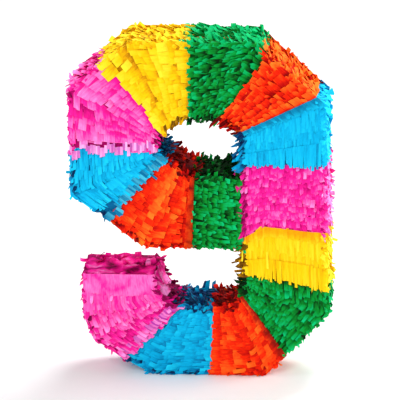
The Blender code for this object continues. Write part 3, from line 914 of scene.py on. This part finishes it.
def skins(wall, seed):
    """Every band with its node on one wall, its own random numbers and its papers."""
    for band in all_bands():
        yield band, f"{band.name}_{wall}", np.random.default_rng(seed + band.number), Papers()


def flat_rows(papers, band, patch, rng, keep=None):
    """A band's rows on its front or its back, with what else its ends have, and the tufts along its edges."""
    cut = band.cut
    head = TAIL_WRAP if band.number == TAIL else (0, 0)
    if band.number == TAIL:
        lay_tail_wrap(papers, patch, rng)
    laps = band.number in OVERLAPPING
    under, back = START_UNDER / patch.length, (LAP_BACK if laps else END_BACK) * cut.length / patch.length
    low, high = (-under, 1 - back) if cut.flow > 0 else (back, 1 + under)
    if band.number in HEADERS:
        high = 1 - HEADER_BACK / patch.length
    over = LAP_RISE if laps else END_RISE
    end_steps = STEPPED_STAGGER if band.number in STEPPED else STAGGER
    lay_fringe(papers, patch, cut, rng, (low, high), over, end_steps, keep, head=head, tone=cut.tone)
    if band.number == TAIL:
        lay_slit_row(papers, patch, cut, rng, head)
    if band.number in SHEER_ENDS:
        lay_sheer_row(papers, patch, cut, rng)
    if band.number in HEADERS:
        lay_header(papers, patch, cut, rng, *HEADERS[band.number], keep)
    if band.number == LAPPED_BAND:
        lay_lap(papers, patch, rng)
    # The outer tufts take the band's painted side light and shade, the inner ones a dark painted shade
    lay_tufts(papers, patch, cut, rng, 1, band.edge_tone)
    spacing, length, tone = INNER_TUFTS.get(band.number, INNER_TUFTS[0])
    lay_tufts(papers, patch, cut, rng, 0, tone, spacing, length, (35, 90))


def lay_tail_wrap(papers, patch, rng):
    """The plain sheet round the tail's end, which reaches a little way under the first row."""
    by_mouth, by_edge = TAIL_WRAP[0] + 0.03, TAIL_WRAP[1] + 0.01
    lay_sheet(
        papers, patch, rng, (0.0, by_mouth), height=0.0006, crumple=0.0005, tone=0.60,
        far_stretch=(0.0, by_edge), fine=45.0, contrast=0.09,
    )


def lay_slit_row(papers, patch, cut, rng, head):
    """The tail's first row: long slits that lie flat."""
    slits = cut._replace(length=0.024, lift=1, mess=0.12, taper=0.0)
    tabs = row_tabs(patch, slits, rng, 0.0, height=0.0030, tone=0.60, head=head, turn=3, steps=0)
    tabs["shade"] *= 0.0
    lay_shapes(papers, patch, slits, rng, tabs)


def lay_sheer_row(papers, patch, cut, rng):
    """A last row of one width, so thin that the next band shows through it."""
    sheer = cut._replace(row=0.013, tab=0.0032, length=0.013, mess=0.4 * cut.mess, taper=0.0)
    at = 1.0 - 0.010 / patch.length
    tabs = row_tabs(patch, sheer, rng, at, overlay=1.6, height=0.0034, steps=LONG_STAGGER, tone=0.5)
    tabs["tone"] += rng.normal(0, 0.28, len(tabs["tone"]))
    stride = np.linalg.norm(patch.slopes(tabs["along"], tabs["across"])[0], axis=1)
    tabs["along"] = 1 - (1 - tabs["along"]) * patch.length / stride
    tabs["fanned"] *= 0.0
    lay_shapes(papers, patch, sheer, rng, tabs)


def header_tabs(patch, cut, rng, at, height, root_tidy, tone):
    """A header row, which shows the colour of what lies under it near its roots."""
    look = {"overlay": 2.0, "fade": 0.85, "tone": tone}
    tabs = row_tabs(patch, cut, rng, at, height=height, root_tidy=root_tidy, **look)
    tabs["shade"] *= 0.0
    return tabs


def lay_header(papers, patch, cut, rng, length, height, lap, keep):
    """The row that a band's uncut edge makes over the next band."""
    header = cut._replace(length=length, tab=0.0045, lift=1, mess=0.35, taper=0.3)
    tabs = header_tabs(patch, header, rng, 1.0 + lap / patch.length, height, 0.15, cut.tone)
    tabs["width"] *= 1.4
    lay_shapes(papers, patch, header, rng, keep(patch, tabs) if keep else tabs)


def lay_lap(papers, patch, rng):
    """The dark strip of uncut tissue that laps over the next band, wider at the outer edge."""
    near, far = length_of(patch.edges[0]), length_of(patch.edges[1])
    lap = 0.0015
    lay_sheet(
        papers, patch, rng, (1 - 0.005 / near, 1 + lap / near), height=0.0034, crumple=0.0005, tone=0.4,
        far_stretch=(1 - 0.010 / far, 1 + lap / far), overlay=1.0, fine=60.0,
    )


class PINATA_OT_front_fringe(Operator):
    """Lay the fringe on each band's front and fold it in over the walls of the hole and the mouth"""

    bl_idname = "pinata.front_fringe"
    bl_label = "Front fringe"

    def execute(self, context):
        for band, node, rng, papers in skins("front", 100):
            backing = sunk_backing(
                node, lambda face: face.normal.y < -SQUARE_ON or shows_on(face, band.outer, band.inner)
            )
            flat_rows(papers, band, band.front(), rng)
            stretch = (0.6, 1.0) if band.number == TAIL else (0.0, 1.0)
            # The inner walls' fringe is toned almost black, as painted shade in the hole and the mouth
            look = {"lean": 16, "tone": 0.02, "turn": WALL_TURN}
            lay_fringe(papers, band.inside(), wall_cut(band.cut), rng, stretch, **look)
            finish_skin(papers, backing, band, node)
        return {"FINISHED"}


def shows_on(face, *chains):
    """Whether a face that runs front to back stands on one of these edges of its band."""
    if abs(face.normal.y) > 1 - SQUARE_ON:
        return False
    centre = face.calc_center_median()
    return any(on_chain(chain, np.array([centre.x, centre.z])) for chain in chains)


class PINATA_OT_side_fringe(Operator):
    """Lay the fringe round the nine's outer walls"""

    bl_idname = "pinata.side_fringe"
    bl_label = "Side fringe"

    def execute(self, context):
        for band, node, rng, papers in skins("side", 200):
            chains = [band.outer, band.inner] if band.number == TAIL else [band.outer]
            backing = sunk_backing(
                node, lambda face: shows_on(face, *chains) or tail_top(face, band), SIDE_BACKING_SHADE
            )
            keep = clear_of_eyelets if band.number == EYELET_BAND else None
            # The outer walls' fringe is toned 0.20 lighter than the band's side tone, as painted light from the
            # lamps
            look = {"height": WALL_HEIGHT, "lean": 12, "tone": band.edge_tone + 0.20, "turn": WALL_TURN}
            lay_fringe(papers, band.side(), wall_cut(band.cut), rng, keep=keep, **look)
            if band.number == TAIL:
                wrap_tail(papers, band, rng)
            finish_skin(papers, backing, band, node)
        return {"FINISHED"}


def clear_of_eyelets(patch, tabs):
    """Drops the tabs that start over an eyelet, and cuts short those that point at one."""
    roots = patch.point(tabs["along"], tabs["across"])
    slopes = patch.slopes(tabs["along"], tabs["across"])
    ahead, aside = (slope / np.linalg.norm(slope, axis=1, keepdims=True) for slope in slopes)
    turn = tabs["yaw"][:, None]
    heading = (ahead * np.cos(turn) * CUTS[EYELET_BAND].flow + aside * np.sin(turn))[:, :2]
    kept = np.ones(len(roots), bool)
    for name in ("eyelet_left", "eyelet_right"):
        low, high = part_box(name)
        offset = roots[:, :2] - np.array((low + high)[:2]) / 2
        closing = (offset * heading).sum(1)
        outside = (offset**2).sum(1) - EYELET_ROOM**2
        reach = closing**2 - outside
        meets = (reach > 0) & (closing < 0) & (outside > 0)
        room = (-closing - np.sqrt(reach.clip(0))) / fan_of(patch, tabs)
        tabs["length"] = np.where(meets, np.minimum(tabs["length"], room), tabs["length"])
        kept &= (outside > 0) & (~meets | (room > EYELET_STUB))
    return chosen_from(tabs, kept)


def wall_cut(cut):
    """A band's fringe where it goes round a wall: shorter, and ruffled."""
    fringe = bpy.context.scene.pinata_fringe
    tab = max(0.0055, cut.tab * 0.7)
    return cut._replace(row=fringe.wall_row, tab=tab, length=fringe.wall_length, mess=fringe.ruffle, taper=0.5)


def tail_top(face, band):
    """Whether a face is on the tail's flat upper end."""
    return band.number == TAIL and face.normal.z > SQUARE_ON


def wrap_tail(papers, band, rng):
    """The crumpled tissue over the tail's flat end, its sheet and tufts toned darker than the front as painted
    shade.
    """
    patch = band.wall(band.start[::-1], -1)
    lay_sheet(papers, patch, rng, (0.0, 1.0), height=-0.001, crumple=0.005, tone=0.26, contrast=0.34)
    tufts = band.cut._replace(row=0.017, tab=0.008, length=0.012, mess=1.6, taper=0.8)
    lay_fringe(papers, patch, tufts, rng, (0.1, 1.0), reach=(0.45, 1.0), lean=25, tone=0.35, turn=60)
    # The sheet inside the tail's fold is toned a little darker than the front, as painted shade against the right
    # light
    look = {"tone": 0.55, "reach": (0.0, 0.9), "contrast": 0.45}
    lay_sheet(papers, band.inside(), rng, (0.0, 0.66), height=0.001, crumple=0.005, **look)


class PINATA_OT_back_fringe(Operator):
    """Lay the fringe on each band's back, clear of the hatch"""

    bl_idname = "pinata.back_fringe"
    bl_label = "Back fringe"

    def execute(self, context):
        for band, node, rng, papers in skins("back", 300):
            backing = sunk_backing(
                node, lambda face: face.normal.y > SQUARE_ON or shows_on(face, band.outer, band.inner)
            )
            patch = band.back()
            keep = {HATCH_BAND: clear_of_hatch, RIBBON_BAND: under_ribbon}.get(band.number)
            flat_rows(papers, band, patch, rng, keep)
            if band.number == HATCH_BAND:
                lay_under_hatch(papers, band, patch, rng)
                lay_over_fold(papers, band, rng)
            finish_skin(papers, backing, band, node)
        return {"FINISHED"}


def lay_under_hatch(papers, band, patch, rng):
    """The row that starts just under the hatch's window."""
    low, high = window()
    spots = np.linspace(0, 1, 400)
    middle = patch.point(spots, np.full(len(spots), 0.5))
    below = 0.001
    at = spots[np.argmin(abs(middle[:, 2] - low[1] + below))]
    line = patch.point(np.full(len(spots), at), spots)
    reach = [spots[np.argmin(abs(line[:, 0] - x))] for x in (low[0], high[0])]
    cut = band.cut._replace(lift=2, mess=0.3)
    tabs = row_tabs(patch, cut, rng, at, reach=(min(reach), max(reach)), tone=cut.tone, root_tidy=0.2)
    lay_shapes(papers, patch, cut, rng, under_ribbon(patch, tabs))


def lay_over_fold(papers, band, rng):
    """The header row over the hatch, which lies on the bare board above the fold."""
    low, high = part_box("hatch_flap_fringe")
    board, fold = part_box("back_panel")[1].y, HINGE["pos_m"][2]
    line = [
        (board + 0.0005, fold + 0.0014),
        (board + 0.0007, fold + 0.0105),
        (band.back_y - 0.0028, fold + 0.0165),
    ]
    sides = (low.x - 0.001, high.x + 0.001)
    edges = [[(x, *spot) for spot in line] for x in sides]
    ends = [[(x, *line[i]) for x in sides] for i in (0, -1)]
    patch = Patch(*edges, *ends, (0, 1, 0))
    cut = band.cut._replace(length=patch.length, tab=0.0045, lift=0, mess=0.1, taper=0.2)
    tabs = header_tabs(patch, cut, rng, 1.0, ROOT_SINK, 0.2, cut.tone)
    tabs["curl"] *= 0.0
    tabs["length"] = tabs["length"].clip(0.8 * patch.length, 0.9 * patch.length)
    tabs["height"] = tabs["height"].clip(0, 0.0004)
    tabs["tone"] += rng.normal(0, 0.08, len(tabs["tone"]))
    lay_shapes(papers, patch, cut, rng, tabs)


def under_ribbon(patch, tabs):
    """Presses down the tabs that the hatch's ribbon hangs over."""
    low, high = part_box("hatch_pull_ribbon")
    margin, above = 0.004, 0.02
    roots = patch.point(tabs["along"], tabs["across"])
    beside = abs(roots[:, 0] - (low.x + high.x) / 2) > (high.x - low.x) / 2 + margin
    away = beside | (roots[:, 2] < low.z - margin) | (roots[:, 2] > high.z + above)
    limits = {"height": -0.0022, "lift": math.radians(1.5), "curl": 0, "tilt": 0, "cup": 0}
    for name, limit in limits.items():
        tabs[name] = np.where(away, tabs[name], np.minimum(tabs[name], limit))
    return tabs


def window():
    """The hatch's window in the back, with room for the flap to swing: its two corners, as (x, z)."""
    low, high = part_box("hatch_flap_fringe")
    beside, below, above = 0.003, 0.002, 0.012
    top = HINGE["pos_m"][2] + above
    return np.array([low.x - beside, low.z - below]), np.array([high.x + beside, top])


def clear_of_hatch(patch, tabs):
    """Drops the tabs that would lie over the hatch, and cuts those above it short."""
    low, high = window()
    roots = patch.point(tabs["along"], tabs["across"])
    half = tabs["width"] / 2
    beside = (roots[:, 0] + half < low[0]) | (roots[:, 0] - half > high[0])
    above = roots[:, 2] - high[1]
    below = roots[:, 2] < low[1]
    room = np.where(above > 0, above, 0) / fan_of(patch, tabs)
    tabs["length"] = np.where(beside | below, tabs["length"], np.minimum(tabs["length"], room))
    aside, aloft = 0.012, 0.016
    near_it = ~below & (roots[:, 2] < high[1] + aloft)
    near_it &= (roots[:, 0] > low[0] - aside) & (roots[:, 0] < high[0] + aside)
    tabs["yaw"] = np.where(near_it, tabs["yaw"] * 0.2, tabs["yaw"])
    return under_ribbon(patch, chosen_from(tabs, beside | below | (room > HATCH_STUB)))


def flat_by_fold(patch, tabs):
    """Presses down the flap's tabs next to the fold, where they swing up against the nine."""
    roots = patch.point(tabs["along"], tabs["across"])
    away = HINGE["pos_m"][2] - roots[:, 2]
    limit = np.interp(away, (0.003, 0.040), (math.radians(1), math.radians(30)))
    tabs["lift"] = np.minimum(tabs["lift"], limit)
    tabs["curl"] = np.minimum(tabs["curl"], limit * 0.5)
    return tabs


class PINATA_OT_hatch_fringe(Operator):
    """Lay the fringe on the hatch's flap"""

    bl_idname = "pinata.hatch_fringe"
    bl_label = "Hatch fringe"

    def execute(self, context):
        node = "hatch_flap_fringe"
        low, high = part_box(node)
        corners = [[(x, high.y, z) for z in (low.z, high.z)] for x in (low.x, high.x)]
        ends = [[(x, high.y, z) for x in (low.x, high.x)] for z in (low.z, high.z)]
        patch = Patch(*corners, *ends, (0, 1, 0))
        backing = sunk_backing(node, lambda face: face.normal.y > SQUARE_ON)
        cut = set_cut(HATCH_BAND)._replace(mess=0.3)
        rng = np.random.default_rng(400)
        papers = Papers()
        stretch = (0.0095 / patch.length, 1 - 0.0015 / patch.length)
        shape = {"reach": (0.015, 0.985), "tone": cut.tone, "turn": 5}
        lay_fringe(papers, patch, cut, rng, stretch, over=0.0012, keep=flat_by_fold, **shape)
        band = next(band for band in all_bands() if band.number == HATCH_BAND)
        finish_piece(papers, backing, "hatch_fringe", node, tissue_for(band), "hatch")
        return {"FINISHED"}


class PINATA_OT_board_and_tape(Operator):
    """Give the cardboard, the gummed tape and the eyelets their finishes"""

    bl_idname = "pinata.board_and_tape"
    bl_label = "Board, tape and eyelets"

    def execute(self, context):
        colours = context.scene.pinata_colours
        finishes = {
            "cardboard": board_finish(colours.board),
            "gummed_tape": tape_finish(colours.tape),
            "brass": brass_finish(colours.brass),
            "ribbon": satin_finish(colours.ribbon),
        }
        for part in frame["record"]["subparts"]:
            if part["material_slot"] in finishes:
                dress(NODES[part["node"]], finishes[part["material_slot"]])
        return {"FINISHED"}


def dress(node, material):
    node.data.materials.clear()
    node.data.materials.append(material)


class PINATA_OT_stage(Operator):
    """Set the floor, the light and the camera"""

    bl_idname = "pinata.stage"
    bl_label = "Stage"

    def execute(self, context):
        stage = context.scene.pinata_stage
        make_floor()
        add_light("front_light", (-0.5, -2.9, 1.9), 1.3, stage.key_power)
        add_light("right_light", (2.6, 0.5, 1.0), 1.2, stage.fill_power)
        add_light("top_light", (0.6, 1.3, 2.4), 1.0, stage.top_power)
        add_light("left_light", (-2.6, -0.6, 0.9), 1.4, stage.left_power)
        world = bpy.data.worlds.new("studio")
        context.scene.world = world
        world.use_nodes = True
        background = world.node_tree.nodes["Background"]
        background.inputs["Color"].default_value = (1, 1, 1, 1)
        background.inputs["Strength"].default_value = stage.sky_strength
        context.scene.view_settings.view_transform = "Standard"
        set_camera(context.scene, stage)
        return {"FINISHED"}


def make_floor():
    """A pale round floor with a rounded rim that turns down."""
    deselect()
    bpy.ops.mesh.primitive_circle_add(vertices=96, radius=FLOOR_RADIUS, fill_type="NGON", location=(0, 0, 0))
    floor = bpy.context.object
    floor.name = "floor"
    bpy.ops.object.mode_set(mode="EDIT")
    bpy.ops.mesh.select_all(action="SELECT")
    bpy.ops.mesh.inset(thickness=FLOOR_RIM, depth=0)
    bpy.ops.mesh.select_all(action="DESELECT")
    mesh = bmesh.from_edit_mesh(floor.data)
    for vertex in mesh.verts:
        vertex.select = vertex.co.length > FLOOR_RADIUS - FLOOR_RIM / 2
    mesh.select_flush(True)
    bmesh.update_edit_mesh(floor.data)
    bpy.ops.transform.translate(value=(0, 0, -RIM_DROP))
    bpy.ops.object.mode_set(mode="OBJECT")
    apply_modifier(floor, "BEVEL", width=RIM_DROP / 2, segments=4)
    finish = Finish("floor_paint", Roughness=0.9)
    place = finish.object_place()
    grain = finish.noise(place, 40.0, 3.0)
    finish.feed("Base Color", finish.ramp(grain, (0.0, (0.91, 0.91, 0.91)), (1.0, (0.94, 0.94, 0.94))))
    floor.data.materials.append(finish.material)
    return floor


def add_light(name, place, size, power):
    """A soft square light, turned to the middle of the nine."""
    deselect()
    bpy.ops.object.light_add(type="AREA", location=place)
    light = bpy.context.object
    light.name = name
    light.data.size = size
    light.data.energy = power
    light.rotation_euler = (Vector(LIGHTS_AIM) - Vector(place)).to_track_quat("-Z", "Y").to_euler()


def set_camera(scene, stage):
    """A long lens, a little above the nine and to its right."""
    deselect()
    bpy.ops.object.camera_add()
    camera = bpy.context.object
    camera.name = "camera"
    camera.data.lens = stage.lens
    turn, rise = stage.azimuth, stage.elevation
    back = Vector((math.sin(turn) * math.cos(rise), -math.cos(turn) * math.cos(rise), math.sin(rise)))
    target = Vector((stage.aim_x, CAD_BOX[0][1], stage.aim_z))
    camera.location = target + back * stage.distance
    camera.rotation_euler = (-back).to_track_quat("-Z", "Y").to_euler()
    camera.rotation_euler.rotate_axis("Z", stage.roll)
    camera.data.clip_end = 50
    scene.camera = camera


def colour_property(name, description, default):
    return FloatVectorProperty(
        name=name, description=description, default=default, subtype="COLOR", size=3, min=0, max=1
    )


def length_property(name, description, default, least=-100.0):
    return FloatProperty(name=name, description=description, default=default, min=least, unit="LENGTH")


def factor_property(name, description, least=0.5):
    return FloatProperty(name=name, description=description, default=1.0, min=least, max=2.0)


def angle_property(name, description, degrees):
    return FloatProperty(name=name, description=description, default=math.radians(degrees), subtype="ANGLE")


def power_property(name, place, watts):
    return FloatProperty(name=name, description=f"Power of the soft light {place}", default=watts, unit="POWER")


def tissue_property(colour, bands):
    return colour_property(colour.capitalize(), f"Tissue of {bands}", TISSUES[colour].middle)


class PinataColours(PropertyGroup):
    pink: tissue_property("pink", "the tail, the stem and the loop's left")
    blue: tissue_property("blue", "the foot, the stem's top and the loop's lower left")
    orange: tissue_property("orange", "the foot, the right shoulder and the bar's left")
    green: tissue_property("green", "the lower right corner, the crown and the bar")
    yellow: tissue_property("yellow", "the stem's foot and the crown's left")
    board: colour_property("Cardboard", "Kraft board under the tissue", (0.42, 0.25, 0.12))
    tape: colour_property("Tape", "Gummed paper tape over the edges", (0.50, 0.345, 0.18))
    brass: colour_property("Brass", "The two eyelets", (0.60, 0.37, 0.09))
    ribbon: colour_property("Ribbon", "The hatch's pull ribbon", (0.72, 0.72, 0.70))


class PinataFringe(PropertyGroup):
    paper: length_property("Paper", "How thick a tab of tissue is, with its folds", 0.00012, 0.00005)
    wall_row: length_property("Wall rows", "From row to row round the walls", 0.0085, 0.004)
    wall_length: length_property("Wall tabs", "How long the tabs are round the walls", 0.0125, 0.004)
    row_factor: factor_property("Row spacing", "Spaces the rows of each band out")
    tab_factor: factor_property("Tab width", "Widens each band's tabs")
    length_factor: factor_property("Tab length", "Lengthens each band's tabs")
    ruffle: factor_property("Ruffle", "How much the tabs stray and curl", 0.0)


class PinataStage(PropertyGroup):
    azimuth: angle_property("Camera turn", "How far right of the front the camera stands", 5.5)
    elevation: angle_property("Camera rise", "How far above the horizon the camera stands", 19)
    roll: angle_property("Camera roll", "Turn about the line of sight", -0.9)
    distance: length_property("Distance", "From the camera to the nine's front", 13.333, 1.0)
    lens: FloatProperty(name="Lens", description="Focal length in millimetres", default=800.0)
    aim_x: length_property("Aim across", "Where the camera aims, from the middle", 0.0023)
    aim_z: length_property("Aim height", "How high the camera aims", 0.2800)
    key_power: power_property("Key light", "in front, to the left and above", 56.0)
    fill_power: power_property("Fill light", "at the right", 60.0)
    top_power: power_property("Top light", "above and behind", 45.0)
    left_power: power_property("Left light", "at the left", 16.0)
    sky_strength: FloatProperty(name="Sky", description="Strength of the white surroundings", default=0.5)


class PINATA_PT_panel(Panel):
    """The pinata's pieces, in the order they are made"""

    bl_idname = "PINATA_PT_panel"
    bl_label = "Number nine pinata"
    bl_space_type = "VIEW_3D"
    bl_region_type = "UI"
    bl_category = "Pinata"

    def draw(self, context):
        for operator in OPERATORS:
            self.layout.operator(operator.bl_idname)
        for name, group in SETTINGS.items():
            for setting in group.__annotations__:
                self.layout.prop(getattr(context.scene, name), setting)


OPERATORS = (
    PINATA_OT_board_and_tape,
    PINATA_OT_front_fringe,
    PINATA_OT_side_fringe,
    PINATA_OT_back_fringe,
    PINATA_OT_hatch_fringe,
    PINATA_OT_stage,
)
SETTINGS = {"pinata_colours": PinataColours, "pinata_fringe": PinataFringe, "pinata_stage": PinataStage}
CLASSES = (*SETTINGS.values(), *OPERATORS, PINATA_PT_panel)


def register():
    for made in CLASSES:
        bpy.utils.register_class(made)
    for name, group in SETTINGS.items():
        setattr(bpy.types.Scene, name, PointerProperty(type=group))


def unregister():
    for name in SETTINGS:
        delattr(bpy.types.Scene, name)
    for made in reversed(CLASSES):
        bpy.utils.unregister_class(made)


def main():
    register()
    for operator in OPERATORS:
        group, name = operator.bl_idname.split(".")
        getattr(getattr(bpy.ops, group), name)()


if __name__ == "__main__":
    main()
